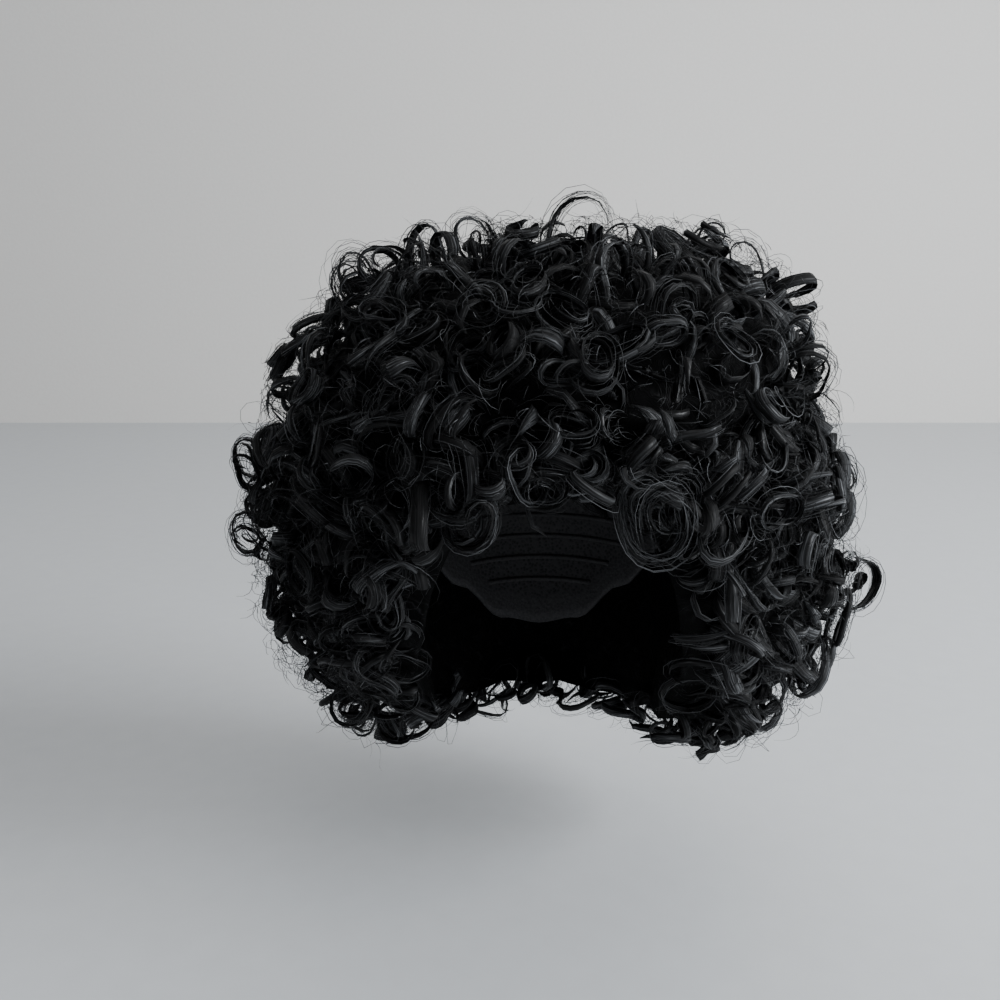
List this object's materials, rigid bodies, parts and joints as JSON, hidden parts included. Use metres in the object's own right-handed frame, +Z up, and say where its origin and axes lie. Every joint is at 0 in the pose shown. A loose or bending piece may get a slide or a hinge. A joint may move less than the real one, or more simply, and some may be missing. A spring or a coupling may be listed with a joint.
{
  "type": "afro wig",
  "caption": "Full round afro wig of black synthetic ringlets on a thin close-fitting cap, open at the face and the neck, in the shape it takes on a head.",
  "frame": {"origin": "inside of the cap at its highest point, where it rests on the crown of the head", "axes": "-Y towards the face opening, +X towards the viewer's right when the opening is seen from the front, +Z up along the head"},
  "size_m": [0.3378, 0.2847, 0.3175],
  "materials": {
    "hair": "black synthetic hair fibre, soft sheen",
    "cap_cloth": "black stretch net, matt"
  },
  "bodies": {
    "root": {"cap": "cap_cloth", "crown_curls": "hair", "fringe_curls": "hair", "left_curls": "hair", "right_curls": "hair", "back_curls": "hair", "nape_curls": "hair"}
  },
  "joints": []
}
